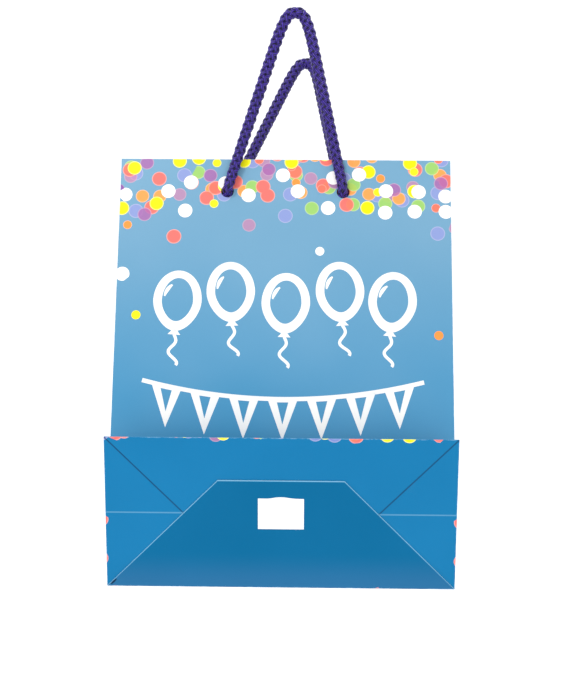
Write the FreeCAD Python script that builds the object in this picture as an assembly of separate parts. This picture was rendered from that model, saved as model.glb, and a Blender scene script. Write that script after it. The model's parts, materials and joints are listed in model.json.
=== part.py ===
import FreeCAD, Part
import math
import os

# Paper gift bag with a block bottom and two rope handles, as it hangs when it is nearly flat: the side
# gussets are folded in and the bottom is folded up in front. Millimetres, +Z up, the front faces -Y.
# The origin is the middle of the back panel's bottom crease, on the panel's outer face.

# ---- driving dimensions ----
WIDTH = 180.0            # across the front
HEIGHT = 230.0           # bottom crease to top edge
DEPTH = 80.0             # front to back when the bag stands open
SPRUNG_ANGLE = 6.5       # how far the gussets stand open at rest, in degrees
PAPER = 0.3              # laminated paper
HEM_DEPTH = 35.0         # turn-in at the top edge
CARD = 0.6               # strip of card under the hem
CARD_SHORT = 3.0         # the card ends this far above the hem's lower edge
CARD_INSET = 2.0         # and this far inside the hem's side edges
BASE_CARD = 0.6          # loose card that stiffens the bottom
CORD = 6.0               # diameter of the rope
HOLE_EASE = 1.0          # the holes are this much wider than the rope
HOLE_SPACING = 63.0
HOLE_DROP = 18.5         # hole centre below the top edge
KNOT_WIDE = 11.0
KNOT_ROUND = 3.2         # how round the pressed knot's edges are, where it is thick enough
KNOT_EASE = 0.35         # air between a knot and the far panel's hem
FRONT_FLAP = 57.6        # length of the bottom's inner flap, from the front edge
BACK_FLAP = 57.6         # length of the bottom's outer flap, from the rear edge
GLUE_TAB = 12.0
LABEL_WIDE = 23.5
LABEL_HIGH = 16.3
LABEL_THICK = 0.1
HANDLE_CLEAR = 0.8       # air between a handle's leg and the panel behind it
BACK_LEAN = 18.0         # how far the back handle leans back at rest, in degrees
CORNER_ANGLE = 3.0       # how far the corner triangles stand off their flaps at rest, in degrees
EASE = 0.2               # air between sheets that are not joined
THIN_EASE = 0.06         # air between sheets that lie face to face close to a crease
CREASE_EASE = 1.0        # the gusset's diagonal edge stays this far above the bottom's crease
REAR_EASE = 2.0          # extra room for the corner triangle at the bottom's rear edge
HALVINGS = 60            # steps in which the fold at rest is found

# The handles' routes, chosen by hand: across the bag, and up from the hole's centre
LEFT_HOLE = (-HOLE_SPACING / 2, 0.0)
RIGHT_HOLE = (HOLE_SPACING / 2, 0.0)
FRONT_ROUTE = [LEFT_HOLE, (-1.6, 101.5), (4.8, 104.3), (11.0, 101.1), RIGHT_HOLE]
BACK_ROUTE = [LEFT_HOLE, (5.0, 98.5), (10.7, 100.5), (15.8, 97.4), RIGHT_HOLE]
ARC_SHARE = 0.45         # how much of the shorter run an arc may use


def vector(x, y, z):
    return FreeCAD.Vector(x, y, z)


def sine(degrees):
    return math.sin(math.radians(degrees))


def cosine(degrees):
    return math.cos(math.radians(degrees))


# ---- the fold at rest ----
def folded_bottom(gusset):
    """Angles of the front's lower part and of the bottom, from the upright, that close on the back panel."""
    front_inner = -DEPTH * sine(gusset) - 2 * PAPER * cosine(gusset)

    def bottom_angle(flap):
        rise = DEPTH / 2 + DEPTH / 2 * cosine(flap) - PAPER * sine(flap)
        return math.degrees(math.acos(min(1.0, rise / DEPTH)))

    def miss(flap):
        edge = front_inner - PAPER - DEPTH / 2 * sine(flap) - PAPER * cosine(flap)
        return edge + DEPTH * sine(bottom_angle(flap))

    low, high = 1.0, 120.0
    for _ in range(HALVINGS):
        middle = (low + high) / 2
        if miss(middle) < 0:
            low = middle
        else:
            high = middle
    return low, bottom_angle(low)


FLAP_ANGLE, BOTTOM_ANGLE = folded_bottom(SPRUNG_ANGLE)
BACK_INNER = -PAPER
FRONT_INNER = BACK_INNER - DEPTH * sine(SPRUNG_ANGLE) - 2 * PAPER * cosine(SPRUNG_ANGLE)
FRONT_OUTER = FRONT_INNER - PAPER
HALF = DEPTH / 2
HOLE_HEIGHT = HEIGHT - HOLE_DROP
PIVOT_OUT = CORD / 2 + HANDLE_CLEAR
LEG_START = CORD / 2 * math.sqrt(2) + EASE     # a leg begins this far from the ball that it turns on
INNER_GAP = BACK_INNER - FRONT_INNER - 2 * (CARD + PAPER)
KNOT_SHIFT = (KNOT_WIDE + CORD + HOLE_EASE) / 2
FRONT_PIVOT = FRONT_OUTER - PIVOT_OUT
BACK_PIVOT = PIVOT_OUT
# Along the fold between two corner triangles the sheets need this much length before they clear each other
WEDGE = sine(FLAP_ANGLE - BOTTOM_ANGLE) - 2 * sine(CORNER_ANGLE)
FOLD_RELIEF = (2 * PAPER + EASE) / WEDGE
REAR_RELIEF = 2 * PAPER / sine(BOTTOM_ANGLE) + REAR_EASE
# What lies inside a crease starts where the wedge is wide enough for it
HEM_SIDE = (CARD + 2 * PAPER + EASE) / sine(SPRUNG_ANGLE)
INSIDE_EDGE = (PAPER + THIN_EASE) / sine(SPRUNG_ANGLE)
BASE_CARD_SIDE = (BASE_CARD + THIN_EASE) / sine(CORNER_ANGLE)
BASE_CARD_END = (BASE_CARD + EASE) / sine(FLAP_ANGLE - BOTTOM_ANGLE)


class Sheet:
    """A plane with its own across and up directions; heights are measured along across x up."""

    def __init__(self, origin, across, up):
        self.origin = origin
        self.across = across
        self.up = up
        self.normal = across.cross(up)

    def point(self, across, up, height=0.0):
        return self.origin + self.across * across + self.up * up + self.normal * height

    def solid(self, outline, low, high):
        corners = [self.point(a, u, low) for a, u in outline]
        face = Part.Face(Part.makePolygon(corners + corners[:1]))
        return face.extrude(self.normal * (high - low))


def rectangle(low_across, low_up, high_across, high_up):
    return [(low_across, low_up), (high_across, low_up), (high_across, high_up), (low_across, high_up)]


def mirrored(shape):
    return shape.mirror(vector(0, 0, 0), vector(1, 0, 0))


X = vector(1, 0, 0)
UP = vector(0, 0, 1)
BACK = Sheet(vector(0, BACK_INNER, 0), X, UP)
FRONT = Sheet(vector(0, FRONT_INNER, 0), X, UP)
GUSSET_BACK = Sheet(vector(WIDTH / 2, BACK_INNER, 0), vector(-cosine(SPRUNG_ANGLE), -sine(SPRUNG_ANGLE), 0), UP)
GUSSET_FRONT = Sheet(vector(WIDTH / 2, FRONT_INNER, 0), vector(-cosine(SPRUNG_ANGLE), sine(SPRUNG_ANGLE), 0), UP)
FLAP = Sheet(vector(0, FRONT_OUTER, HALF), X, vector(0, -sine(FLAP_ANGLE), cosine(FLAP_ANGLE)))
BOTTOM = Sheet(FLAP.point(0, HALF, PAPER), X, vector(0, sine(BOTTOM_ANGLE), -cosine(BOTTOM_ANGLE)))


def corner_sheet(base, height):
    """The plane of a corner triangle, turned inwards about the right-hand side edge of its flap."""
    inwards = base.across * -cosine(CORNER_ANGLE) + base.normal * sine(CORNER_ANGLE)
    return Sheet(base.point(WIDTH / 2, 0, height), base.up, inwards)


FRONT_CORNER = corner_sheet(FLAP, PAPER)
BOTTOM_CORNER = corner_sheet(BOTTOM, 0)


# ---- panels ----
def cord_holes(shape, sheet_y):
    """The two holes for the rope, bored along Y through whatever stands near sheet_y."""
    reach = 3 * (PAPER + CARD)
    for side in (-1, 1):
        start = vector(side * HOLE_SPACING / 2, sheet_y - reach, HOLE_HEIGHT)
        shape = shape.cut(Part.makeCylinder((CORD + HOLE_EASE) / 2, 2 * reach, start, vector(0, 1, 0)))
    return shape


def back_panel():
    panel = BACK.solid(rectangle(-WIDTH / 2, 0, WIDTH / 2, HEIGHT), -PAPER, 0)
    return cord_holes(panel, BACK_INNER)


def front_panel_upper():
    panel = FRONT.solid(rectangle(-WIDTH / 2, HALF, WIDTH / 2, HEIGHT), 0, PAPER)
    return cord_holes(panel, FRONT_INNER)


def front_panel_lower():
    return FLAP.solid(rectangle(-WIDTH / 2, 0, WIDTH / 2, HALF), 0, PAPER)


def gusset_back():
    outline = [(0, CREASE_EASE), (HALF, HALF + CREASE_EASE), (HALF, HEIGHT), (0, HEIGHT)]
    return GUSSET_BACK.solid(outline, -PAPER, 0)


def gusset_front():
    return GUSSET_FRONT.solid(rectangle(0, HALF, HALF, HEIGHT), 0, PAPER)


def front_corner():
    """Triangle behind the bottom's front edge; its tip at the fold is cut back to give the sheets room."""
    tip = HALF - FOLD_RELIEF
    outline = [(0, 0), (tip, 0), (tip, HALF - tip), (0, HALF)]
    return FRONT_CORNER.solid(outline, 0, PAPER)


def bottom_corner():
    """Triangle on the bottom's side edge, cut back at both ends of that edge."""
    front = FOLD_RELIEF
    rear = DEPTH - REAR_RELIEF
    outline = [(front, 0), (rear, 0), (rear, DEPTH - rear), (HALF, HALF), (front, front)]
    return BOTTOM_CORNER.solid(outline, 0, PAPER)


# ---- the bottom, as the open bag shows it from below ----
def trapezoid(long_edge, length, direction):
    """A flap with 45 degree ends, from its fold towards the middle of the bottom."""
    far = long_edge + direction * length
    return [(-WIDTH / 2, long_edge), (WIDTH / 2, long_edge), (WIDTH / 2 - length, far), (-WIDTH / 2 + length, far)]


def bottom_front_flap():
    return BOTTOM.solid(trapezoid(0, FRONT_FLAP, 1), -PAPER, 0)


def bottom_back_flap():
    return BOTTOM.solid(trapezoid(DEPTH, BACK_FLAP, -1), -2 * PAPER, -PAPER)


def bottom_tuck():
    outline = [(WIDTH / 2, 0), (WIDTH / 2, DEPTH), (WIDTH / 2 - HALF, HALF)]
    return BOTTOM.solid(outline, -PAPER, 0)


def base_card():
    edge = WIDTH / 2 - BASE_CARD_SIDE
    return BOTTOM.solid(rectangle(-edge, BASE_CARD_END, edge, DEPTH - BASE_CARD_END), 0, BASE_CARD)


def label():
    outline = rectangle(-LABEL_WIDE / 2, HALF - LABEL_HIGH / 2, LABEL_WIDE / 2, HALF + LABEL_HIGH / 2)
    return BOTTOM.solid(outline, -2 * PAPER - LABEL_THICK, -2 * PAPER)


# ---- hems, cards and the side seam ----
def hem(sheet, inwards):
    """Turn-in over the card, with the strip that joins it to the panel at the top edge."""
    edge = WIDTH / 2 - HEM_SIDE
    inner = sorted([inwards * CARD, inwards * (CARD + PAPER)])
    strip = sorted([0, inwards * CARD])
    turned = sheet.solid(rectangle(-edge, HEIGHT - HEM_DEPTH, edge, HEIGHT), *inner)
    top = sheet.solid(rectangle(-edge, HEIGHT - PAPER, edge, HEIGHT), *strip)
    return cord_holes(turned.fuse(top).removeSplitter(), sheet.origin.y)


def reinforcement(sheet, inwards):
    edge = WIDTH / 2 - HEM_SIDE - CARD_INSET
    top = HEIGHT - PAPER - EASE
    low = HEIGHT - HEM_DEPTH + CARD_SHORT
    card = sheet.solid(rectangle(-edge, low, edge, top), *sorted([0, inwards * CARD]))
    return cord_holes(card, sheet.origin.y)


def gusset_hem(sheet, low, high):
    return sheet.solid(rectangle(INSIDE_EDGE, HEIGHT - HEM_DEPTH, HALF - EASE, HEIGHT), low, high)


def glue_tab():
    start = -WIDTH / 2 + INSIDE_EDGE
    outline = rectangle(start, REAR_RELIEF, start + GLUE_TAB, HEIGHT - HEM_DEPTH - EASE)
    return BACK.solid(outline, 0, PAPER)


# ---- rope handles ----
def rounded_path(points):
    """Straight runs joined by tangent arcs; an arc takes a set share of the shorter run beside it."""
    edges = []
    here = points[0]
    for before, corner, after in zip(points, points[1:], points[2:]):
        back = before - corner
        ahead = after - corner
        reach = ARC_SHARE * min(back.Length, ahead.Length)
        turn = math.pi - back.getAngle(ahead)
        print("arc radius %.1f mm" % (reach / math.tan(turn / 2)))
        first = corner + back.normalize() * reach
        last = corner + ahead.normalize() * reach
        bisector = (back + ahead).normalize()
        radius = reach / math.tan(turn / 2)
        centre = corner + bisector * math.hypot(reach, radius)
        middle = centre - bisector * radius
        edges.append(Part.LineSegment(here, first).toShape())
        edges.append(Part.Arc(first, middle, last).toShape())
        here = last
    edges.append(Part.LineSegment(here, points[-1]).toShape())
    return Part.Wire(edges)


def handle(route, pivot_y, lean):
    """The rope outside the bag, from one ball to the other; lean tilts it towards +Y."""
    across = [vector(x, 0, 0) for x, _ in route]
    rise = vector(0, sine(lean), cosine(lean))
    base = vector(0, pivot_y, HOLE_HEIGHT)
    points = [base + a + rise * up for a, (_, up) in zip(across, route)]
    points[0] = points[0] + (points[1] - points[0]).normalize() * LEG_START
    points[-1] = points[-1] + (points[-2] - points[-1]).normalize() * LEG_START
    path = rounded_path(points)
    print("handle length %.1f mm" % path.Length)
    ring = Part.Wire(Part.Circle(points[0], points[1] - points[0], CORD / 2).toShape())
    tube = path.makePipeShell([ring], True, False)
    print("tube volume / section x length %.4f" % (tube.Volume / (math.pi * CORD ** 2 / 4 * path.Length)))
    return tube


def knots(pivot_y, inner_y, shift):
    """Rope through each hole: a ball outside, and inside a pressed knot that cannot pull through."""
    inwards = 1 if inner_y > pivot_y else -1
    face_y = inner_y + inwards * (CARD + PAPER)
    stub_end = face_y + inwards * (INNER_GAP / 2 - EASE)
    thick = INNER_GAP - KNOT_EASE
    low, high = sorted([face_y, stub_end])
    pieces = []
    for side in (-1, 1):
        centre = vector(side * HOLE_SPACING / 2, pivot_y, HOLE_HEIGHT)
        ball = Part.makeSphere(CORD / 2, centre)
        stub = Part.makeCylinder(CORD / 2, abs(stub_end - pivot_y), centre, vector(0, inwards, 0))
        seat = vector(centre.x, face_y, HOLE_HEIGHT + shift)
        knot = Part.makeCylinder(KNOT_WIDE / 2, thick, seat, vector(0, inwards, 0))
        rims = [edge for edge in knot.Edges if isinstance(edge.Curve, Part.Circle)]
        knot = knot.makeFillet(min(KNOT_ROUND, thick / 2 - EASE), rims)
        start = vector(centre.x - CORD / 2, low, min(seat.z, centre.z))
        lead = Part.makeBox(CORD, high - low, abs(shift), start)
        pieces.append(ball.fuse([stub, knot, lead]).removeSplitter())
    return Part.makeCompound(pieces)


def pair(nodes, name, shape):
    """A right-hand piece and its mirror image on the left."""
    nodes["right_" + name] = shape
    nodes["left_" + name] = mirrored(shape)


def gift_bag():
    nodes = {
        "back_panel": back_panel(),
        "front_panel_upper": front_panel_upper(),
        "front_panel_lower": front_panel_lower(),
        "bottom_front_flap": bottom_front_flap(),
        "bottom_back_flap": bottom_back_flap(),
        "base_card": base_card(),
        "label": label(),
        "front_hem": hem(FRONT, -1),
        "back_hem": hem(BACK, 1),
        "front_card": reinforcement(FRONT, -1),
        "back_card": reinforcement(BACK, 1),
        "glue_tab": glue_tab(),
        "front_handle": handle(FRONT_ROUTE, FRONT_PIVOT, 0),
        "back_handle": handle(BACK_ROUTE, BACK_PIVOT, BACK_LEAN),
        "front_handle_knots": knots(FRONT_PIVOT, FRONT_INNER, -KNOT_SHIFT),
        "back_handle_knots": knots(BACK_PIVOT, BACK_INNER, KNOT_SHIFT),
    }
    pair(nodes, "gusset_back", gusset_back())
    pair(nodes, "gusset_front", gusset_front())
    pair(nodes, "gusset_back_hem", gusset_hem(GUSSET_BACK, 0, PAPER))
    pair(nodes, "gusset_front_hem", gusset_hem(GUSSET_FRONT, -PAPER, 0))
    pair(nodes, "front_corner", front_corner())
    pair(nodes, "bottom_corner", bottom_corner())
    pair(nodes, "bottom_tuck", bottom_tuck())
    return nodes


os.makedirs("parts", exist_ok=True)
print("flap angle %.3f, bottom angle %.3f" % (FLAP_ANGLE, BOTTOM_ANGLE))
for node_name, node_shape in gift_bag().items():
    node_shape.exportStep("parts/%s.step" % node_name)
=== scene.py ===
"""Laminated paper gift bag, nearly flat, with its block bottom folded up in front and two rope handles."""

import json
import math

import bmesh
import bpy
from mathutils import Matrix, Vector, noise

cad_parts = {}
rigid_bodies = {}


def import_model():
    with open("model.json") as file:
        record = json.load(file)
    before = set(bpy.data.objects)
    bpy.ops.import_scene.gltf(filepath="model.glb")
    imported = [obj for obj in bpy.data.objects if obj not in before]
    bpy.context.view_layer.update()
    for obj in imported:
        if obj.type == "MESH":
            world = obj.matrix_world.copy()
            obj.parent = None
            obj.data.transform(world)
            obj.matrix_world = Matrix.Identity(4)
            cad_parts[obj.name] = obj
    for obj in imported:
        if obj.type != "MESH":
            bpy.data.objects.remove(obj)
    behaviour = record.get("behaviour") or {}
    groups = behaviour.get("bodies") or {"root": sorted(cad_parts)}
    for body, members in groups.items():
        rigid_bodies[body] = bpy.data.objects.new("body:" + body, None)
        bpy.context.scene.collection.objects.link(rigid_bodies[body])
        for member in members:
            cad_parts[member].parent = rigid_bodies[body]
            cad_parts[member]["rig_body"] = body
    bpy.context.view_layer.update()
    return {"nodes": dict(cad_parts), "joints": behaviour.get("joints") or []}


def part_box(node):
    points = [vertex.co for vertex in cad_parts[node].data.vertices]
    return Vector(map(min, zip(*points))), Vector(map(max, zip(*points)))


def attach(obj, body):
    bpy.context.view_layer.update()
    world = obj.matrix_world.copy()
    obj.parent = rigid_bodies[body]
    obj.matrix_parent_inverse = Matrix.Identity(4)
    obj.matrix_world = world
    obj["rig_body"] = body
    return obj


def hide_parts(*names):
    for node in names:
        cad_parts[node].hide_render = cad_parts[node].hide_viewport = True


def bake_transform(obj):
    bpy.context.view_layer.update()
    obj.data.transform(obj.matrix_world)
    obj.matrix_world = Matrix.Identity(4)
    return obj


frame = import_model()

bl_info = {
    "name": "Rope-handled gift bag",
    "version": (1, 0, 0),
    "blender": (4, 5, 0),
    "location": "3D View > Sidebar > Gift Bag",
    "description": "Builds the paper, print, ropes and card of a folded gift bag around its frame",
    "category": "Object",
}

MM = 0.001
X = Vector((1, 0, 0))
UP = Vector((0, 0, 1))
JOINTS = {joint["name"]: joint for joint in frame["joints"]}

# ---- sizes read from the frame ----
BACK_LOW, BACK_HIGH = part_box("back_panel")
FRONT_LOW, FRONT_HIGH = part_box("front_panel_upper")
HALF_WIDTH = BACK_HIGH.x
HEIGHT = BACK_HIGH.z
PAPER = BACK_HIGH.y - BACK_LOW.y
HALF_DEPTH = FRONT_LOW.z
DEPTH = 2 * HALF_DEPTH
KNOTS_LOW, KNOTS_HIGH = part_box("front_handle_knots")
BACK_KNOTS_LOW, BACK_KNOTS_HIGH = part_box("back_handle_knots")
HOLE_HEIGHT = JOINTS["front_handle_swing"]["pos_m"][2]
HEM_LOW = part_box("front_hem")[0].z
HEM_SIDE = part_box("front_hem")[1].x
CARD_LOW, CARD_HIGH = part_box("front_card")
CARD = CARD_HIGH.y - CARD_LOW.y

# ---- sizes that the frame's boxes don't tell ----
HOLE_SIDE = 31.5 * MM          # from the bag's middle to a hole's centre
HOLE_RADIUS = 3.5 * MM
ROPE = 6.0 * MM
KNOT_RADIUS = 5.5 * MM         # half the width of a pressed knot
LABEL_HALF_HEIGHT = 8.15 * MM
LABEL_THICK = 0.1 * MM
HEM_SHORT = 0.2 * MM           # a gusset's hem stops this far short of the middle fold
CORNER_ANGLE = math.radians(3.0)    # the corner triangles stand this far off their flaps
CREASE = 0.04 * MM             # each sheet stops this far short of its creases


def hinge_point(joint):
    return Vector(JOINTS[joint]["pos_m"])


def hinge_axis(joint):
    return Vector(JOINTS[joint]["axis"]).normalized()


# ---- the bag's planes ----
class Sheet:
    """A plane of paper: where it starts, its across and up directions, and the way its print faces."""

    def __init__(self, origin, across, up, printed):
        self.origin = Vector(origin)
        self.across = Vector(across).normalized()
        self.up = Vector(up).normalized()
        self.printed = Vector(printed).normalized()

    def matrix(self):
        """Takes (across, up, height towards the print) to a place."""
        turned = Matrix((self.across, self.up, self.printed)).transposed().to_4x4()
        return Matrix.Translation(self.origin) @ turned

    def rotation(self):
        """The turn of the plane's own right-handed axes, for a Mapping node."""
        axes = Matrix((self.across, self.up, self.across.cross(self.up))).transposed()
        return axes.to_euler()

    def place(self, across, up, height=0.0):
        return self.matrix() @ Vector((across, up, height))

    def mirrored(self):
        flip = Matrix.Diagonal((-1, 1, 1))
        return Sheet(flip @ self.origin, flip @ self.across, flip @ self.up, flip @ self.printed)


def turned_about_z(vector, angle):
    return Matrix.Rotation(angle, 3, "Z") @ vector


def gusset_direction(start, fold, towards):
    """From a side crease to the gusset's middle fold, which is one paper thickness off the inner face."""
    line = fold - start
    line.z = 0
    return turned_about_z(line, towards * math.atan2(PAPER, HALF_DEPTH))


BACK = Sheet((0, BACK_LOW.y, 0), X, UP, (0, 1, 0))
FRONT = Sheet((0, FRONT_HIGH.y, 0), X, UP, (0, -1, 0))
GUSSET_FOLD = hinge_point("right_gusset_fold")
BACK_CREASE = Vector((HALF_WIDTH, BACK_LOW.y, 0))
FRONT_CREASE = Vector((HALF_WIDTH, FRONT_HIGH.y, 0))
BACK_INWARDS = gusset_direction(BACK_CREASE, GUSSET_FOLD, -1)
FRONT_INWARDS = gusset_direction(FRONT_CREASE, GUSSET_FOLD, 1)
GUSSET_BACK = Sheet(BACK_CREASE, BACK_INWARDS, UP, turned_about_z(BACK_INWARDS, math.pi / 2))
GUSSET_FRONT = Sheet(FRONT_CREASE, FRONT_INWARDS, UP, turned_about_z(FRONT_INWARDS, -math.pi / 2))
FLAP_UP = hinge_axis("right_front_corner_crease")
BOTTOM_UP = hinge_axis("right_bottom_corner_crease")
FLAP_INSIDE = X.cross(FLAP_UP)
BOTTOM_INSIDE = X.cross(BOTTOM_UP)
FLAP = Sheet(hinge_point("front_bottom_crease") + FLAP_INSIDE * PAPER, X, FLAP_UP, -FLAP_INSIDE)
BOTTOM = Sheet(hinge_point("bottom_front_crease"), X, BOTTOM_UP, -BOTTOM_INSIDE)


def up_the_bottom(y, z):
    """How far from the bottom's front edge a point of the frame lies."""
    return (Vector((0, y, z)) - BOTTOM.origin).dot(BOTTOM.up)


def corner_sheet(base):
    """The plane of a right-hand corner triangle; its up runs inwards from the flap's side edge."""
    inwards = Matrix.Rotation(CORNER_ANGLE, 3, base.up) @ -X
    if inwards.dot(base.printed) > 0:
        inwards = Matrix.Rotation(-CORNER_ANGLE, 3, base.up) @ -X
    printed = base.up.cross(inwards)
    if printed.dot(base.printed) > 0:
        printed = -printed
    return Sheet(base.place(HALF_WIDTH, 0), base.up, inwards, printed)


FRONT_CORNER = corner_sheet(FLAP)
BOTTOM_CORNER = corner_sheet(BOTTOM)


# ---- settings a user would change ----
class PaperSettings(bpy.types.PropertyGroup):
    grid: bpy.props.FloatProperty(
        name="Grid", description="Spacing of the mesh on the paper panels", default=5 * MM, unit="LENGTH"
    )
    bow: bpy.props.FloatProperty(
        name="Bow", description="How far the panels bow out of flat", default=0.7 * MM, unit="LENGTH"
    )
    gloss: bpy.props.FloatProperty(
        name="Roughness", description="Roughness of the laminate", default=0.3, min=0.0, max=1.0
    )
    wear: bpy.props.FloatProperty(
        name="Crease wear", description="How far the print is rubbed off at creases", default=0.5,
        min=0, max=1,
    )


class PrintSettings(bpy.types.PropertyGroup):
    # top_blue over low_blue makes a painted sheen, paler towards the mouth; bottom_blue is darker as painted
    # shade of the bottom, which faces down
    top_blue: bpy.props.FloatVectorProperty(
        name="Blue at the top", description="Ground colour at the mouth", subtype="COLOR",
        default=(0.165, 0.35, 0.51),
    )
    low_blue: bpy.props.FloatVectorProperty(
        name="Blue lower down", description="Ground colour over the bottom", subtype="COLOR",
        default=(0.03, 0.25, 0.475),
    )
    bottom_blue: bpy.props.FloatVectorProperty(
        name="Blue of the bottom", description="Ground colour of the bottom", subtype="COLOR",
        default=(0.0, 0.168, 0.378),
    )
    dot: bpy.props.FloatProperty(
        name="Dot radius", description="Radius of the large confetti dots", default=4.0 * MM, unit="LENGTH"
    )
    stroke: bpy.props.FloatProperty(
        name="Stroke", description="Width of the balloons' outlines", default=4.6 * MM, unit="LENGTH"
    )
    ink: bpy.props.FloatProperty(
        name="Ink", description="Thickness of the white ink", default=0.04 * MM, unit="LENGTH", precision=5
    )


class RopeSettings(bpy.types.PropertyGroup):
    pitch: bpy.props.FloatProperty(
        name="Pitch", description="Length in which a strand goes once round", default=19 * MM, unit="LENGTH"
    )
    colour: bpy.props.FloatVectorProperty(
        name="Colour", description="Colour of the rope's yarn", subtype="COLOR", default=(0.036, 0.012, 0.26)
    )
    steps: bpy.props.IntProperty(
        name="Steps", description="Sections in one pitch of a strand", default=30, min=8, max=64
    )


class StageSettings(bpy.types.PropertyGroup):
    floor_drop: bpy.props.FloatProperty(
        name="Floor drop", description="Height of the bag's bottom over the floor", default=0.35,
        unit="LENGTH",
    )
    key_power: bpy.props.FloatProperty(
        name="Key light", description="Power of the large light", default=2.8, min=0, unit="POWER"
    )


# ---- small helpers ----
def colour(red, green, blue):
    """A display colour, 0 to 255, as the linear colour that a shader takes."""
    def linear(value):
        value /= 255
        return value / 12.92 if value <= 0.04045 else ((value + 0.055) / 1.055) ** 2.4

    return (linear(red), linear(green), linear(blue), 1.0)


def make_piece(name, shape, materials, sharp_angle=math.radians(40)):
    """Turns a finished bmesh into an object with smooth faces and sharp corners."""
    for face in shape.faces:
        face.smooth = True
    for edge in shape.edges:
        edge.smooth = len(edge.link_faces) == 2 and edge.calc_face_angle(math.pi) < sharp_angle
    mesh = bpy.data.meshes.new(name)
    shape.to_mesh(mesh)
    shape.free()
    for material in materials:
        mesh.materials.append(material)
    piece = bpy.data.objects.new(name, mesh)
    bpy.context.scene.collection.objects.link(piece)
    return piece


def stand_for(piece, node):
    """The piece rides where the frame's node rides, and is seen in its place."""
    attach(piece, frame["nodes"][node]["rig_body"])
    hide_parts(node)


# ---- shader helpers ----
class Shading:
    """Adds nodes to a material's or a group's tree with few words."""

    def __init__(self, tree):
        self.tree = tree

    def node(self, kind, inputs=None, **settings):
        made = self.tree.nodes.new(kind)
        for key, value in settings.items():
            setattr(made, key, value)
        for key, value in (inputs or {}).items():
            self.feed(made.inputs[key], value)
        return made

    def feed(self, socket, value):
        if isinstance(value, bpy.types.NodeSocket):
            self.tree.links.new(value, socket)
        else:
            socket.default_value = value

    def math(self, operation, first, second=0.0):
        made = self.node("ShaderNodeMath", operation=operation)
        for socket, value in zip(made.inputs, (first, second)):
            self.feed(socket, value)
        return made.outputs[0]

    def mix(self, share, first, second):
        made = self.node("ShaderNodeMix", data_type="RGBA")
        self.feed(made.inputs[0], share)
        self.feed(made.inputs[6], first)
        self.feed(made.inputs[7], second)
        return made.outputs[2]

    def ramp(self, value, low, high, to_low=0.0, to_high=1.0):
        made = self.node("ShaderNodeMapRange", interpolation_type="SMOOTHSTEP")
        for name, given in (
            ("Value", value), ("From Min", low), ("From Max", high), ("To Min", to_low), ("To Max", to_high)
        ):
            self.feed(made.inputs[name], given)
        return made.outputs["Result"]

    def noise(self, vector, scale, detail=3.0, roughness=0.5):
        made = self.node(
            "ShaderNodeTexNoise",
            {"Vector": vector, "Scale": scale, "Detail": detail, "Roughness": roughness},
        )
        return made.outputs["Fac"]

    def split(self, vector):
        made = self.node("ShaderNodeSeparateXYZ", {"Vector": vector})
        return made.outputs[0], made.outputs[1], made.outputs[2]

    def group(self, name, inputs):
        made = self.node("ShaderNodeGroup", node_tree=bpy.data.node_groups[name])
        for key, value in inputs.items():
            self.feed(made.inputs[key], value)
        return made.outputs


def new_group(name, inputs, outputs):
    """An empty shader node group with named float and vector sockets."""
    tree = bpy.data.node_groups.new(name, "ShaderNodeTree")
    for socket, kind in inputs:
        tree.interface.new_socket(socket, in_out="INPUT", socket_type=kind)
    for socket, kind in outputs:
        tree.interface.new_socket(socket, in_out="OUTPUT", socket_type=kind)
    shading = Shading(tree)
    start = tree.nodes.new("NodeGroupInput")
    end = tree.nodes.new("NodeGroupOutput")
    return shading, start.outputs, end.inputs


FLOAT = "NodeSocketFloat"
VECTOR = "NodeSocketVector"


def confetti_group():
    """Round dots scattered one to a cell, thick along one edge of the sheet and none past a limit."""
    sh, given, out = new_group(
        "Confetti dots",
        [("Place", VECTOR), ("Cell", FLOAT), ("Radius", FLOAT), ("Shift", FLOAT), ("Edge", FLOAT),
         ("Reach", FLOAT), ("Thick", FLOAT), ("Limit", FLOAT)],
        [("Mask", FLOAT), ("Rim", FLOAT)],
    )
    shift = sh.node("ShaderNodeCombineXYZ", {"X": given["Shift"], "Y": given["Shift"]}).outputs[0]
    moved = sh.node("ShaderNodeVectorMath", operation="ADD")
    sh.feed(moved.inputs[0], given["Place"])
    sh.feed(moved.inputs[1], shift)
    scale = sh.math("DIVIDE", 1.0, given["Cell"])
    cells = sh.node(
        "ShaderNodeTexVoronoi", {"Vector": moved.outputs[0], "Scale": scale, "Randomness": 0.8},
        voronoi_dimensions="2D", feature="F1",
    )
    radius = sh.math("MULTIPLY", given["Radius"], scale)
    inside = sh.math("LESS_THAN", cells.outputs["Distance"], radius)
    _, centre, _ = sh.split(cells.outputs["Position"])
    centre = sh.math("SUBTRACT", centre, given["Shift"])
    away = sh.math("DIVIDE", sh.math("ABSOLUTE", sh.math("SUBTRACT", centre, given["Edge"])), given["Reach"])
    share = sh.math("DIVIDE", given["Thick"], sh.math("ADD", 1.0, sh.math("POWER", away, 6.0)))
    lot, _, _ = sh.split(cells.outputs["Color"])
    chosen = sh.math("LESS_THAN", lot, share)
    kept = sh.math("MULTIPLY", chosen, sh.math("LESS_THAN", centre, given["Limit"]))
    mask = sh.math("MULTIPLY", inside, kept)
    sh.feed(out["Mask"], mask)
    depth = sh.math("DIVIDE", cells.outputs["Distance"], radius)
    sh.feed(out["Rim"], sh.math("MULTIPLY", mask, sh.ramp(depth, 0.8, 1.0)))


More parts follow.
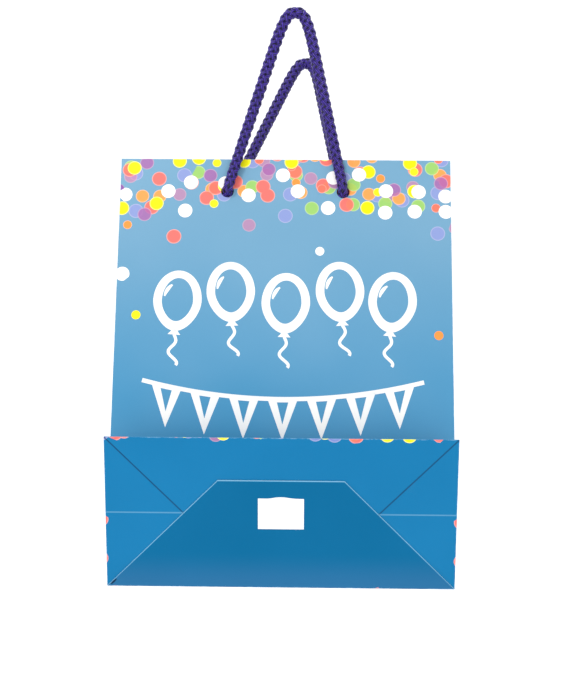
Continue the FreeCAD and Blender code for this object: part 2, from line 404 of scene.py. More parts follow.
def laminate_group():
    """The plastic film on the paper: faint waviness, small scuffs and a fine paper grain."""
    sh, given, out = new_group(
        "Laminated paper",
        [("Place", VECTOR), ("Roughness", FLOAT)],
        [("Roughness", FLOAT), ("Height", FLOAT)],
    )
    wave = sh.noise(given["Place"], 16.0, 2.0)
    grain = sh.noise(given["Place"], 900.0, 3.0)
    scuff = sh.ramp(sh.noise(given["Place"], 140.0, 5.0, 0.7), 0.55, 0.75)
    sh.feed(out["Height"], sh.math("ADD", sh.math("MULTIPLY", wave, 0.8), sh.math("MULTIPLY", grain, 0.05)))
    rough = sh.math("ADD", given["Roughness"], sh.math("MULTIPLY", scuff, 0.12))
    sh.feed(out["Roughness"], sh.math("ADD", rough, sh.math("MULTIPLY", wave, 0.08)))


def wear_group():
    """Where the film is rubbed pale: along a sheet's edges and folds, in broken patches."""
    sh, given, out = new_group(
        "Crease wear",
        [("Place", VECTOR), ("Half Width", FLOAT), ("Low", FLOAT), ("High", FLOAT), ("Band", FLOAT)],
        [("Mask", FLOAT)],
    )
    across, up, _ = sh.split(given["Place"])
    side = sh.math("SUBTRACT", given["Half Width"], sh.math("ABSOLUTE", across))
    low = sh.math("SUBTRACT", up, given["Low"])
    high = sh.math("SUBTRACT", given["High"], up)
    near = sh.math("MINIMUM", side, sh.math("MINIMUM", low, high))
    band = sh.ramp(near, 0.0, given["Band"], 1.0, 0.0)
    patches = sh.ramp(sh.noise(given["Place"], 260.0, 5.0, 0.65), 0.42, 0.66)
    sh.feed(out["Mask"], sh.math("MULTIPLY", band, patches))


SMALL_DOT = 0.7          # a dot is small below this share of the large radius
NO_LIMIT = 1.0           # farther away than any dot
FULL_TURN = 6.283        # one turn of the yarn pattern, in radians
WHITE_DROP = 5.5 * MM    # white dots start this far below the top edge, where they would break its line
# Each colour's name, tint, radius and cell against the large dots' radius, and opacity
CONFETTI = (
    ("lavender", (150, 150, 215), 1.0, 5.2, 0.65),
    ("pink", (205, 120, 160), 0.9, 5.6, 0.6),
    ("orange", (252, 160, 75), 0.9, 4.6, 0.95),
    ("lime", (158, 205, 95), 0.95, 5.0, 0.9),
    ("coral", (248, 112, 98), 1.0, 3.8, 0.92),
    ("purple", (165, 100, 165), 0.95, 6.5, 0.85),
    ("small coral", (252, 120, 98), 0.62, 4.0, 1.0),
    ("small orange", (255, 150, 70), 0.6, 5.6, 1.0),
    ("small purple", (140, 75, 160), 0.6, 6.2, 0.9),
    ("yellow", (252, 244, 10), 0.95, 5.6, 1.0),
    ("small yellow", (250, 240, 30), 0.6, 5.4, 1.0),
    ("white", (253, 250, 248), 0.97, 3.9, 1.0),
)


EDGE_COLOURS = [row for row in CONFETTI if row[2] > SMALL_DOT and row[0] != "white"]
# The few small dots that stray down the front: tint, across and up
SINGLE_DOTS = (
    ((253, 250, 248), 19 * MM, 178 * MM),
    ((250, 240, 30), -79 * MM, 142 * MM),
    ((255, 150, 70), 82.5 * MM, 132 * MM),
)


def add_confetti(sh, place, ground, seed, edge, reach, thick, colours=CONFETTI, spread=1.0):
    """Lays each colour of dots over the ground in turn, in a band along one edge."""
    large = bpy.context.scene.bag_print.dot
    for number, (name, tint, radius, cell, opacity) in enumerate(colours):
        white = name == "white"
        dots = sh.group("Confetti dots", {
            "Place": place, "Cell": large * cell * spread, "Radius": large * radius,
            "Shift": seed + 0.317 * (number + 1), "Edge": edge,
            "Limit": edge - WHITE_DROP if white else NO_LIMIT,
            "Reach": reach, "Thick": thick if radius > SMALL_DOT else 0.3 * thick,
        })
        ground = sh.mix(sh.math("MULTIPLY", dots["Mask"], opacity), ground, colour(*tint))
        ground = sh.mix(sh.math("MULTIPLY", dots["Rim"], 0.3 * opacity), ground, colour(255, 248, 235))
    return ground


def new_material(name):
    material = bpy.data.materials.new(name)
    material.use_nodes = True
    tree = material.node_tree
    for old in list(tree.nodes):
        tree.nodes.remove(old)
    sh = Shading(tree)
    shader = sh.node("ShaderNodeBsdfPrincipled")
    output = sh.node("ShaderNodeOutputMaterial")
    tree.links.new(shader.outputs[0], output.inputs[0])
    return material, sh, shader


def sheet_place(sh, sheet):
    """The surface point in the sheet's own across and up, in metres."""
    point = sh.node("ShaderNodeTexCoord").outputs["Object"]
    mapping = sh.node("ShaderNodeMapping", vector_type="TEXTURE")
    sh.feed(mapping.inputs["Vector"], point)
    mapping.inputs["Location"].default_value = sheet.origin
    mapping.inputs["Rotation"].default_value = sheet.rotation()
    return mapping.outputs[0]


def laminate(sh, shader, place, base, shine=0.16):
    """Film over the print: gloss, scuffs and waviness."""
    finish = bpy.context.scene.bag_paper
    film = sh.group("Laminated paper", {"Place": place, "Roughness": finish.gloss})
    bump = sh.node("ShaderNodeBump", {"Height": film["Height"], "Distance": 0.0006, "Strength": 0.35})
    sh.feed(shader.inputs["Base Color"], base)
    sh.feed(shader.inputs["Roughness"], film["Roughness"])
    sh.feed(shader.inputs["Normal"], bump.outputs[0])
    shader.inputs["Specular IOR Level"].default_value = shine
    shader.inputs["Coat Weight"].default_value = 0.3 * shine
    shader.inputs["Coat Roughness"].default_value = 0.18


def wall_print(name, sheet, seed, half_width, singles=()):
    """The print of an upright panel: blue that pales towards the mouth as painted sheen of the film, with
    confetti along the top.
    """
    printing = bpy.context.scene.bag_print
    finish = bpy.context.scene.bag_paper
    material, sh, shader = new_material(name)
    place = sheet_place(sh, sheet)
    _, up, _ = sh.split(place)
    top = tuple(printing.top_blue) + (1,)
    low = tuple(printing.low_blue) + (1,)
    # Paler towards the mouth: painted sheen, the film's reflection put into the blue
    blue = sh.mix(sh.ramp(up, HALF_DEPTH, HEIGHT * 0.98), low, top)
    cloud = sh.noise(place, 11.0, 2.0)
    blue = sh.mix(sh.ramp(cloud, 0.35, 0.7, 0.0, 0.05), blue, colour(205, 228, 240))
    base = add_confetti(sh, place, blue, seed, HEIGHT, 24 * MM, 0.95)
    for tint, spot_across, spot_up in singles:
        distance = sh.node("ShaderNodeVectorMath", operation="DISTANCE")
        sh.feed(distance.inputs[0], place)
        sh.feed(distance.inputs[1], (spot_across, spot_up, 0.0))
        spot = sh.math("LESS_THAN", distance.outputs["Value"], 0.62 * printing.dot)
        base = sh.mix(spot, base, colour(*tint))
    wear = sh.group("Crease wear", {
        "Place": place, "Half Width": half_width, "Low": -1.0, "High": HEIGHT, "Band": 0.55 * MM,
    })
    base = sh.mix(sh.math("MULTIPLY", wear["Mask"], finish.wear), base, colour(188, 214, 232))
    laminate(sh, shader, place, base)
    return material


def edge_dots(sh, place, base, seed):
    """The dots of the walls that come a little way round the bottom's front and side edges."""
    base = add_confetti(sh, place, base, seed, -2.7 * MM, 1.1 * MM, 1.0, EDGE_COLOURS, 0.6)
    across, up, _ = sh.split(place)
    turned = sh.node("ShaderNodeCombineXYZ", {"X": up, "Y": sh.math("ABSOLUTE", across)}).outputs[0]
    few = EDGE_COLOURS[1::3]
    return add_confetti(sh, turned, base, seed + 5, HALF_WIDTH + 3.1 * MM, 0.8 * MM, 1.0, few, 0.6)


def flap_marks(sh, place, base, seed, free_edge):
    """The outer flap's pale cut edge, a greyer painted shade towards its fold with a dot or two, and a
    painted shadow of a gap between the layers at one corner.
    """
    across, up, _ = sh.split(place)
    slant = sh.math("SUBTRACT", sh.math("ADD", up, HALF_WIDTH - DEPTH), sh.math("ABSOLUTE", across))
    free = sh.math("SUBTRACT", up, free_edge)
    rim = sh.ramp(sh.math("MINIMUM", slant, free), 0.15 * MM, 0.65 * MM, 0.8, 0.0)
    base = sh.mix(rim, base, colour(130, 195, 228))
    few = EDGE_COLOURS[4:6]
    base = add_confetti(sh, place, base, seed, DEPTH + 3.3 * MM, 0.8 * MM, 0.6, few, 0.7)
    # Greyer towards the fold: painted shade
    base = sh.mix(sh.ramp(up, DEPTH - 20 * MM, DEPTH, 0.0, 0.5), base, colour(58, 112, 158))
    # A painted shadow of the gap where the layers part at the corner: a dark wedge
    past_fold = sh.math("SUBTRACT", DEPTH, up)
    from_side = sh.math("ADD", across, HALF_WIDTH)
    along_gap_shadow = sh.math("SUBTRACT", sh.math("ADD", past_fold, from_side), 6 * MM)
    across_gap_shadow = sh.math("ADD", sh.math("SUBTRACT", past_fold, from_side), 1.1 * MM)
    length = sh.math("POWER", sh.math("DIVIDE", along_gap_shadow, 3.2 * MM), 2.0)
    width = sh.math("POWER", sh.math("DIVIDE", across_gap_shadow, 0.75 * MM), 2.0)
    gap_shadow = sh.ramp(sh.math("ADD", length, width), 0.7, 1.1, 0.85, 0.0)
    return sh.mix(gap_shadow, base, colour(6, 24, 48))


def fold_marks(sh, place, base):
    """A dark line of painted shade at each diagonal fold and a pale one across each tuck, outside the outer
    flap.
    """
    across, up, _ = sh.split(place)
    out = sh.math("ABSOLUTE", across)
    diagonal = sh.math("ABSOLUTE", sh.math("SUBTRACT", sh.math("ADD", out, up), HALF_WIDTH))
    middle = sh.math("ABSOLUTE", sh.math("SUBTRACT", up, HALF_DEPTH))
    # Painted shade in the diagonal folds
    dark = sh.ramp(diagonal, 0.15 * MM, 0.8 * MM, 0.75, 0.0)
    light = sh.ramp(middle, 0.1 * MM, 0.55 * MM, 0.5, 0.0)
    outside = sh.ramp(out, HALF_WIDTH - HALF_DEPTH - MM, HALF_WIDTH - HALF_DEPTH + MM)
    base = sh.mix(sh.math("MULTIPLY", dark, outside), base, colour(8, 45, 84))
    return sh.mix(sh.math("MULTIPLY", light, outside), base, colour(120, 175, 205))


def bottom_print(name, shade, seed, free_edge=None):
    """The print of the bottom, plain deep blue, darker than the walls' blue as painted shade; only the outer
    flap has a free edge.
    """
    printing = bpy.context.scene.bag_print
    finish = bpy.context.scene.bag_paper
    material, sh, shader = new_material(name)
    place = sheet_place(sh, BOTTOM)
    # The bottom's blue is a darker copy of the walls' ink: painted shade of a panel that faces down; shade
    # darkens it further on the outer flap
    blue = tuple(shade * part for part in printing.bottom_blue) + (1,)
    pale = tuple(min(1, 1.12 * part + 0.003) for part in blue[:3]) + (1,)
    base = sh.mix(sh.ramp(sh.noise(place, 14.0, 2.0), 0.3, 0.75, 0.0, 0.55), blue, pale)
    if free_edge is None:
        base = edge_dots(sh, place, base, seed)
    else:
        base = flap_marks(sh, place, base, seed, free_edge)
    base = fold_marks(sh, place, base)
    wear = sh.group("Crease wear", {
        "Place": place, "Half Width": HALF_WIDTH, "Low": 0.0, "High": DEPTH, "Band": 0.6 * MM,
    })
    base = sh.mix(sh.math("MULTIPLY", wear["Mask"], finish.wear), base, colour(165, 205, 228))
    laminate(sh, shader, place, base, 0.13 if free_edge is None else 0.06)
    return material


def plain_paper(name, tint, roughness=0.85, grain=0.0002):
    """Uncoated paper: the bag's inside, its cut edges and the label."""
    material, sh, shader = new_material(name)
    place = sh.node("ShaderNodeTexCoord").outputs["Object"]
    fibre = sh.noise(place, 1400.0, 4.0, 0.6)
    cloud = sh.noise(place, 60.0, 3.0)
    base = sh.mix(sh.ramp(cloud, 0.3, 0.75), colour(*tint), colour(*(0.955 * part for part in tint)))
    bump = sh.node("ShaderNodeBump", {"Height": fibre, "Distance": grain, "Strength": 0.4})
    sh.feed(shader.inputs["Base Color"], base)
    sh.feed(shader.inputs["Normal"], bump.outputs[0])
    sh.feed(shader.inputs["Roughness"], sh.ramp(cloud, 0.2, 0.8, roughness - 0.05, roughness + 0.05))
    return material


def grey_board(name):
    """Recycled card with flecks of darker and lighter fibre."""
    material, sh, shader = new_material(name)
    place = sh.node("ShaderNodeTexCoord").outputs["Object"]
    fleck = sh.noise(place, 900.0, 6.0, 0.75)
    base = sh.mix(sh.ramp(fleck, 0.35, 0.65), colour(150, 143, 132), colour(186, 180, 168))
    base = sh.mix(sh.ramp(sh.noise(place, 2200.0, 2.0), 0.66, 0.72), base, colour(92, 86, 80))
    bump = sh.node("ShaderNodeBump", {"Height": fleck, "Distance": 0.0003, "Strength": 0.5})
    sh.feed(shader.inputs["Base Color"], base)
    sh.feed(shader.inputs["Normal"], bump.outputs[0])
    sh.feed(shader.inputs["Roughness"], sh.ramp(fleck, 0.3, 0.7, 0.86, 0.95))
    return material


def white_ink(name):
    """Opaque white print under the film, a little uneven."""
    material, sh, shader = new_material(name)
    place = sh.node("ShaderNodeTexCoord").outputs["Object"]
    cloud = sh.noise(place, 45.0, 3.0)
    base = sh.mix(sh.ramp(cloud, 0.3, 0.7), colour(246, 245, 241), colour(236, 239, 240))
    laminate(sh, shader, place, base)
    return material


def rope_yarn(name):
    """Glossy twisted yarn; its fibres follow each strand."""
    rope = bpy.context.scene.bag_rope
    material, sh, shader = new_material(name)
    strand = sh.node("ShaderNodeUVMap", uv_map="strand").outputs[0]
    along, around, _ = sh.split(strand)
    twist = sh.math("ADD", sh.math("MULTIPLY", around, 6.0), sh.math("MULTIPLY", along, 0.45))
    stretched = sh.math("MULTIPLY", along, 0.08)
    fibre_place = sh.node("ShaderNodeCombineXYZ", {"X": twist, "Y": stretched}).outputs[0]
    fibre = sh.noise(fibre_place, 2.2, 4.0, 0.65)
    ridge = sh.math("SINE", sh.math("MULTIPLY", twist, FULL_TURN))
    height = sh.math("ADD", sh.math("MULTIPLY", ridge, 0.5), fibre)
    # Yarn colour follows the ridge height: darker in the grooves as painted shade and paler on the ridges as
    # painted highlight, mixed with the fibres' own tone
    dark = tuple(0.4 * part for part in rope.colour) + (1,)
    pale = tuple(min(1, 1.9 * part + 0.006) for part in rope.colour) + (1,)
    base = sh.mix(sh.ramp(height, 0.1, 0.95), dark, pale)
    # Strands darker on their flanks and inner side: painted shade
    outwards = sh.math("COSINE", sh.math("MULTIPLY", around, FULL_TURN))
    deep = tuple(0.16 * part for part in rope.colour) + (1,)
    base = sh.mix(sh.ramp(outwards, 0.1, 0.85), deep, base)
    bump = sh.node("ShaderNodeBump", {"Height": height, "Distance": 0.0006, "Strength": 0.9})
    sh.feed(shader.inputs["Base Color"], base)
    sh.feed(shader.inputs["Normal"], bump.outputs[0])
    sh.feed(shader.inputs["Roughness"], sh.ramp(fibre, 0.3, 0.7, 0.26, 0.46))
    shader.inputs["Specular IOR Level"].default_value = 0.3
    shader.inputs["Coat Weight"].default_value = 0.4
    shader.inputs["Coat Roughness"].default_value = 0.14
    return material


def studio_surface(name, tint, roughness):
    material, sh, shader = new_material(name)
    place = sh.node("ShaderNodeTexCoord").outputs["Object"]
    base = sh.mix(sh.noise(place, 3.0, 2.0), colour(*tint), colour(*(0.99 * part for part in tint)))
    sh.feed(shader.inputs["Base Color"], base)
    shader.inputs["Roughness"].default_value = roughness
    shader.inputs["Emission Color"].default_value = (1, 1, 1, 1)
    shader.inputs["Emission Strength"].default_value = 0.36
    return material


# ---- paper ----
def bow_of_wall(across, up):
    """How far a wall of the bag stands out of flat: nothing at its creases, most in the middle."""
    depth = bpy.context.scene.bag_paper.bow
    side = max(0.0, 1 - (across / HALF_WIDTH) ** 2)
    share = (up - HALF_DEPTH) / (HEIGHT - HALF_DEPTH)
    rise = max(0.0, math.sin(math.pi * min(1.0, max(0.0, share)) * 0.94))
    wave = 0.5 + 0.5 * noise.noise(Vector((across * 26, up * 17, 3.1)))
    knots = 0.0
    for hole in (-HOLE_SIDE, HOLE_SIDE):
        distance = math.hypot(across - hole, up - HOLE_HEIGHT + 6 * MM)
        knots += math.exp(-((distance / (13 * MM)) ** 2))
    return depth * side * (rise * wave + 0.55 * knots)


def flat(across, up):
    return 0.0


def lifted_flap(across, up):
    """The outer flap springs up a little towards its free edge."""
    reach = max(0.0, (DEPTH - up) / DEPTH)
    wave = 0.7 + 0.3 * noise.noise(Vector((across * 20, up * 20, 7.7)))
    return 0.55 * MM * reach ** 1.5 * wave


def cut_to_outline(shape, outline):
    """Trims the flat mesh to a convex outline."""
    middle = sum((Vector((a, u, 0)) for a, u in outline), Vector()) / len(outline)
    for (a0, u0), (a1, u1) in zip(outline, outline[1:] + outline[:1]):
        start = Vector((a0, u0, 0))
        outwards = Vector((u1 - u0, a0 - a1, 0))
        if outwards.dot(start - middle) < 0:
            outwards.negate()
        everything = shape.verts[:] + shape.edges[:] + shape.faces[:]
        bmesh.ops.bisect_plane(shape, geom=everything, plane_co=start, plane_no=outwards, clear_outer=True)


def cut_round_hole(shape, centre, radius):
    """Opens a round hole in the flat mesh, joined to the square of faces that it takes away."""
    half = 1.7 * radius
    for direction in (Vector((1, 0, 0)), Vector((0, 1, 0))):
        for side in (-half, half):
            everything = shape.verts[:] + shape.edges[:] + shape.faces[:]
            cut = centre + direction * side
            bmesh.ops.bisect_plane(shape, geom=everything, plane_co=cut, plane_no=direction)
    inside = []
    for face in shape.faces:
        offset = face.calc_center_median() - centre
        if abs(offset.x) < half and abs(offset.y) < half:
            inside.append(face)
    bmesh.ops.delete(shape, geom=inside, context="FACES")
    square = []
    for edge in shape.edges:
        offset = (edge.verts[0].co + edge.verts[1].co) / 2 - centre
        if edge.is_boundary and abs(offset.x) < 1.05 * half and abs(offset.y) < 1.05 * half:
            square.append(edge)
    ring = bmesh.ops.create_circle(shape, segments=40, radius=radius, matrix=Matrix.Translation(centre))
    circle = list({edge for vert in ring["verts"] for edge in vert.link_edges})
    bmesh.ops.bridge_loops(shape, edges=square + circle)


def paper(name, sheet, outline, inner, outer, materials, bow=flat, holes=(), grid=None, cut_edges=None):
    """A sheet of paper or card between two heights over its plane.

    materials are the outer face's, the inner face's and the cut edges'; cut_edges(across, up) says where
    an edge of the outline is cut and shows its core, and elsewhere the edge has the outer face's finish.
    """
    grid = grid or bpy.context.scene.bag_paper.grid
    low = Vector((min(a for a, _ in outline), min(u for _, u in outline), 0))
    high = Vector((max(a for a, _ in outline), max(u for _, u in outline), 0))
    size = high - low
    shape = bmesh.new()
    scaled = Matrix.Translation((low + high) / 2) @ Matrix.Diagonal((size.x, size.y, 1, 1))
    bmesh.ops.create_grid(
        shape, x_segments=max(1, round(size.x / grid)), y_segments=max(1, round(size.y / grid)), size=0.5,
        matrix=scaled,
    )
    cut_to_outline(shape, outline)
    for centre in holes:
        cut_round_hole(shape, Vector((centre[0], centre[1], 0)), HOLE_RADIUS)
    front = bmesh.ops.extrude_face_region(shape, geom=shape.faces[:])
    raised = [part for part in front["geom"] if isinstance(part, bmesh.types.BMVert)]
    bmesh.ops.translate(shape, verts=raised, vec=(0, 0, outer - inner))
    for vert in shape.verts:
        vert.co.z += inner + bow(vert.co.x, vert.co.y)
    bmesh.ops.recalc_face_normals(shape, faces=shape.faces)
    for face in shape.faces:
        centre = face.calc_center_median()
        if abs(face.normal.z) < 0.5:
            cut = cut_edges is not None and cut_edges(centre.x, centre.y)
            face.material_index = 2 if cut else 0
        else:
            face.material_index = 0 if face.normal.z > 0 else 1
    bmesh.ops.transform(shape, matrix=sheet.matrix(), verts=shape.verts)
    bmesh.ops.recalc_face_normals(shape, faces=shape.faces)
    return make_piece(name, shape, materials)


def rectangle(low_across, low_up, high_across, high_up):
    return [(low_across, low_up), (high_across, low_up), (high_across, high_up), (low_across, high_up)]


HOLES = [(-HOLE_SIDE, HOLE_HEIGHT), (HOLE_SIDE, HOLE_HEIGHT)]


class BAG_OT_walls(bpy.types.Operator):
    """Build the front, the back and the four gusset halves, printed outside and white inside"""

    bl_idname = "gift_bag.walls"
    bl_label = "Paper walls"

    def execute(self, context):
        inside = bpy.data.materials["bag inside"]
        front = wall_print("front print", FRONT, 5.3, HALF_WIDTH, SINGLE_DOTS)
        back = wall_print("back print", BACK, 9.0, HALF_WIDTH, SINGLE_DOTS)
        outline = rectangle(-HALF_WIDTH, HALF_DEPTH, HALF_WIDTH, HEIGHT)
        piece = paper("front_wall", FRONT, outline, 0, PAPER, [front, inside, front], bow_of_wall, HOLES)
        stand_for(piece, "front_panel_upper")
        outline = rectangle(-HALF_WIDTH, 0, HALF_WIDTH, HEIGHT)
        piece = paper("back_wall", BACK, outline, 0, PAPER, [back, inside, back], bow_of_wall, HOLES)
        stand_for(piece, "back_panel")
        outline = rectangle(-HALF_WIDTH, CREASE, HALF_WIDTH, HALF_DEPTH - CREASE)
        piece = paper("front_wall_fold", FLAP, outline, 0, PAPER, [front, inside, front])
        stand_for(piece, "front_panel_lower")
        for side, seed in (("right", 17.0), ("left", 23.0)):
            self.gusset(side, seed, inside)
        return {"FINISHED"}

    def gusset(self, side, seed, inside):
        for half, sheet, low in (("back", GUSSET_BACK, 0.0), ("front", GUSSET_FRONT, HALF_DEPTH)):
            if side == "left":
                sheet = sheet.mirrored()
            tint = wall_print("%s %s gusset print" % (side, half), sheet, seed, 1.0)
            fold = HALF_DEPTH - CREASE
            start = low + 3 * CREASE
            outline = [(CREASE, start), (fold, HALF_DEPTH + 3 * CREASE), (fold, HEIGHT), (CREASE, HEIGHT)]
            name = "%s_gusset_%s" % (side, half)
            piece = paper(name + "_wall", sheet, outline, 0, PAPER, [tint, inside, tint])
            stand_for(piece, name)


class BAG_OT_bottom(bpy.types.Operator):
    """Build the folded block bottom: its flaps, tucks and corner triangles"""

    bl_idname = "gift_bag.bottom"
    bl_label = "Block bottom"

    def execute(self, context):
        inside = bpy.data.materials["bag inside"]
        edge = bpy.data.materials["cut edge"]
        under = bottom_print("bottom print", 1.0, 31.0)
        free_edge = self.flap_end("bottom_back_flap")
        # The outer flap gets a darker copy of the bottom's blue, share 0.76: painted shade
        outer = bottom_print("outer flap print", 0.76, 37.0, free_edge)
        length = DEPTH - free_edge
        outline = self.trapezoid(DEPTH, length, -1)
        near = DEPTH - 1.5 * MM
        piece = paper(
            "outer_flap", BOTTOM, outline, PAPER, 2 * PAPER, [outer, inside, edge], lifted_flap,
            cut_edges=lambda across, up: up < near,
        )
        stand_for(piece, "bottom_back_flap")
        outline = self.trapezoid(CREASE, length, 1)
        piece = paper(
            "inner_flap", BOTTOM, outline, 0, PAPER, [under, inside, edge],
            cut_edges=lambda across, up: up > HALF_DEPTH,
        )
        stand_for(piece, "bottom_front_flap")
        for side, sign in (("right", 1), ("left", -1)):
            side_edge = sign * (HALF_WIDTH - CREASE)
            outline = [
                (side_edge, 2 * CREASE), (side_edge, DEPTH - 2 * CREASE),
                (sign * (HALF_WIDTH - HALF_DEPTH), HALF_DEPTH),
            ]
            piece = paper(side + "_tuck", BOTTOM, outline, 0, PAPER, [under, inside, under])
            stand_for(piece, side + "_bottom_tuck")
            self.corners(side, inside)
        return {"FINISHED"}

    def flap_end(self, node):
        """How far from the bottom's front edge the outer flap's free edge lies."""
        low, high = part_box(node)
        return up_the_bottom(low.y, high.z)

    def trapezoid(self, long_edge, length, direction):
        far = long_edge + direction * length
        narrow = HALF_WIDTH - length
        return [(-HALF_WIDTH, long_edge), (HALF_WIDTH, long_edge), (narrow, far), (-narrow, far)]

    def corners(self, side, inside):
        triangles = (
            ("front_corner", FRONT_CORNER, [
                (CREASE, CREASE), (HALF_DEPTH - 3 * CREASE, CREASE), (CREASE, HALF_DEPTH - 3 * CREASE)
            ]),
            ("bottom_corner", BOTTOM_CORNER, [
                (3 * CREASE, CREASE), (DEPTH - 3 * CREASE, CREASE), (HALF_DEPTH, HALF_DEPTH - 2 * CREASE)
            ]),
        )
        for name, sheet, outline in triangles:
            if side == "left":
                sheet = sheet.mirrored()
            tint = wall_print("%s %s print" % (side, name), sheet, 43.0, 1.0)
            piece = paper("%s_%s_fold" % (side, name), sheet, outline, 0, 0.7 * PAPER, [tint, inside, tint])
            stand_for(piece, "%s_%s" % (side, name))


class BAG_OT_hems(bpy.types.Operator):
    """Build the turned-in hems, the card strips under them, the side seam's tab and the base card"""

    bl_idname = "gift_bag.hems"
    bl_label = "Hems and cards"

    def execute(self, context):
        inside = bpy.data.materials["bag inside"]
        board = bpy.data.materials["grey board"]
        for name, sheet in (("front", FRONT), ("back", BACK)):
            tint = wall_print(name + " hem print", sheet, 53.0, 1.0)
            outline = rectangle(-HEM_SIDE, HEM_LOW, HEM_SIDE, HEIGHT)
            piece = paper(
                name + "_turned_hem", sheet, outline, -CARD - PAPER, -CARD, [inside, tint, inside],
                bow_of_wall, HOLES,
            )
            self.add_top_strip(piece, sheet)
            stand_for(piece, name + "_hem")
            outline = rectangle(CARD_LOW.x, CARD_LOW.z, CARD_HIGH.x, CARD_HIGH.z)
            piece = paper(
                name + "_stiffener", sheet, outline, -CARD, 0, [board, board, board], bow_of_wall, HOLES
            )
            stand_for(piece, name + "_card")
        for side in ("right", "left"):
            for half, sheet in (("back", GUSSET_BACK), ("front", GUSSET_FRONT)):
                self.gusset_hem(side, half, sheet)
        self.tab_and_base(inside, board)
        return {"FINISHED"}

    def add_top_strip(self, piece, sheet):
        """The paper that passes over the top of the card, from the panel to its hem."""
        shape = bmesh.new()
        shape.from_mesh(piece.data)
        size = Matrix.Diagonal((2 * HEM_SIDE, PAPER, CARD, 1))
        centre = Matrix.Translation((0, HEIGHT - PAPER / 2, -CARD / 2))
        made = bmesh.ops.create_cube(shape, size=1, matrix=sheet.matrix() @ centre @ size)
        faces = {face for vert in made["verts"] for face in vert.link_faces}
        for face in faces:
            face.material_index = 1
        bmesh.ops.recalc_face_normals(shape, faces=list(faces))
        shape.to_mesh(piece.data)
        shape.free()

    def gusset_hem(self, side, half, sheet):
        if side == "left":
            sheet = sheet.mirrored()
        name = "%s_gusset_%s_hem" % (side, half)
        low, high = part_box(name)
        start = (HALF_WIDTH - max(abs(low.x), abs(high.x))) / abs(sheet.across.x)
        tint = wall_print(name + " print", sheet, 61.0, 1.0)
        inside = bpy.data.materials["bag inside"]
        outline = rectangle(start, HEM_LOW, HALF_DEPTH - HEM_SHORT, HEIGHT)
        piece = paper(name + "_turned", sheet, outline, -PAPER, 0, [inside, tint, inside])
        stand_for(piece, name)

    def tab_and_base(self, inside, board):
        low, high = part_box("glue_tab")
        outline = rectangle(low.x, low.z, high.x, high.z)
        piece = paper("seam_tab", BACK, outline, -PAPER, 0, [inside, inside, inside])
        stand_for(piece, "glue_tab")
        low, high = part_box("base_card")
        outline = rectangle(low.x, up_the_bottom(low.y, high.z), high.x, up_the_bottom(high.y, low.z))
        piece = paper("base_board", BOTTOM, outline, -2 * PAPER, 0, [board, board, board])
        stand_for(piece, "base_card")


class BAG_OT_label(bpy.types.Operator):
    """Build the blank label stuck to the outer flap"""

    bl_idname = "gift_bag.label"
    bl_label = "Blank label"

    def execute(self, context):
        white = bpy.data.materials["label paper"]
        half_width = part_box("label")[1].x
        low = HALF_DEPTH - LABEL_HALF_HEIGHT
        outline = rectangle(-half_width, low, half_width, HALF_DEPTH + LABEL_HALF_HEIGHT)
        lift = 2 * PAPER + 0.02 * MM
        piece = paper(
            "blank_label", BOTTOM, outline, lift, lift + LABEL_THICK, [white, white, white], lifted_flap,
            grid=1.5 * MM,
        )
        self.tear(piece)
        stand_for(piece, "label")
        return {"FINISHED"}

    def tear(self, piece):
        """The label's upper edge was torn unevenly off its roll."""
        for vert in piece.data.vertices:
            place = vert.co - BOTTOM.origin
            share = (HALF_DEPTH - place.dot(BOTTOM.up)) / LABEL_HALF_HEIGHT
            if share > 0.75:
                ragged = 0.2 * noise.noise(Vector((vert.co.x * 420, 0.3, 0.9)))
                ragged -= math.exp(-((vert.co.x / (5 * MM)) ** 2))
                vert.co += BOTTOM.up * ragged * 0.8 * MM * (share - 0.75) / 0.25


# ---- the white print: balloons over a string of pennants ----
def nearest_first(ends, place):
    """The two end points of a ribbon, the one nearer to the place in front."""
    return sorted(ends, key=lambda vert: (vert.co - place).length)


def ribbon(shape, line, widths):
    """A flat ribbon along a line of (across, up) points."""
    previous = None
    for number, point in enumerate(line):
        before = line[max(0, number - 1)]
        after = line[min(len(line) - 1, number + 1)]
        way = (after - before).normalized()
        side = Vector((-way.y, way.x, 0)) * widths[number] / 2
        if previous is None:
            ends = [shape.verts.new(point + side), shape.verts.new(point - side)]
            previous = shape.edges.new(ends)
            continue
        made = bmesh.ops.extrude_edge_only(shape, edges=[previous])
        ends = [part for part in made["geom"] if isinstance(part, bmesh.types.BMVert)]
        previous = next(part for part in made["geom"] if isinstance(part, bmesh.types.BMEdge) and
                        all(vert in ends for vert in part.verts))
        for vert, target in zip(nearest_first(ends, point + side), (point + side, point - side)):
            vert.co = target


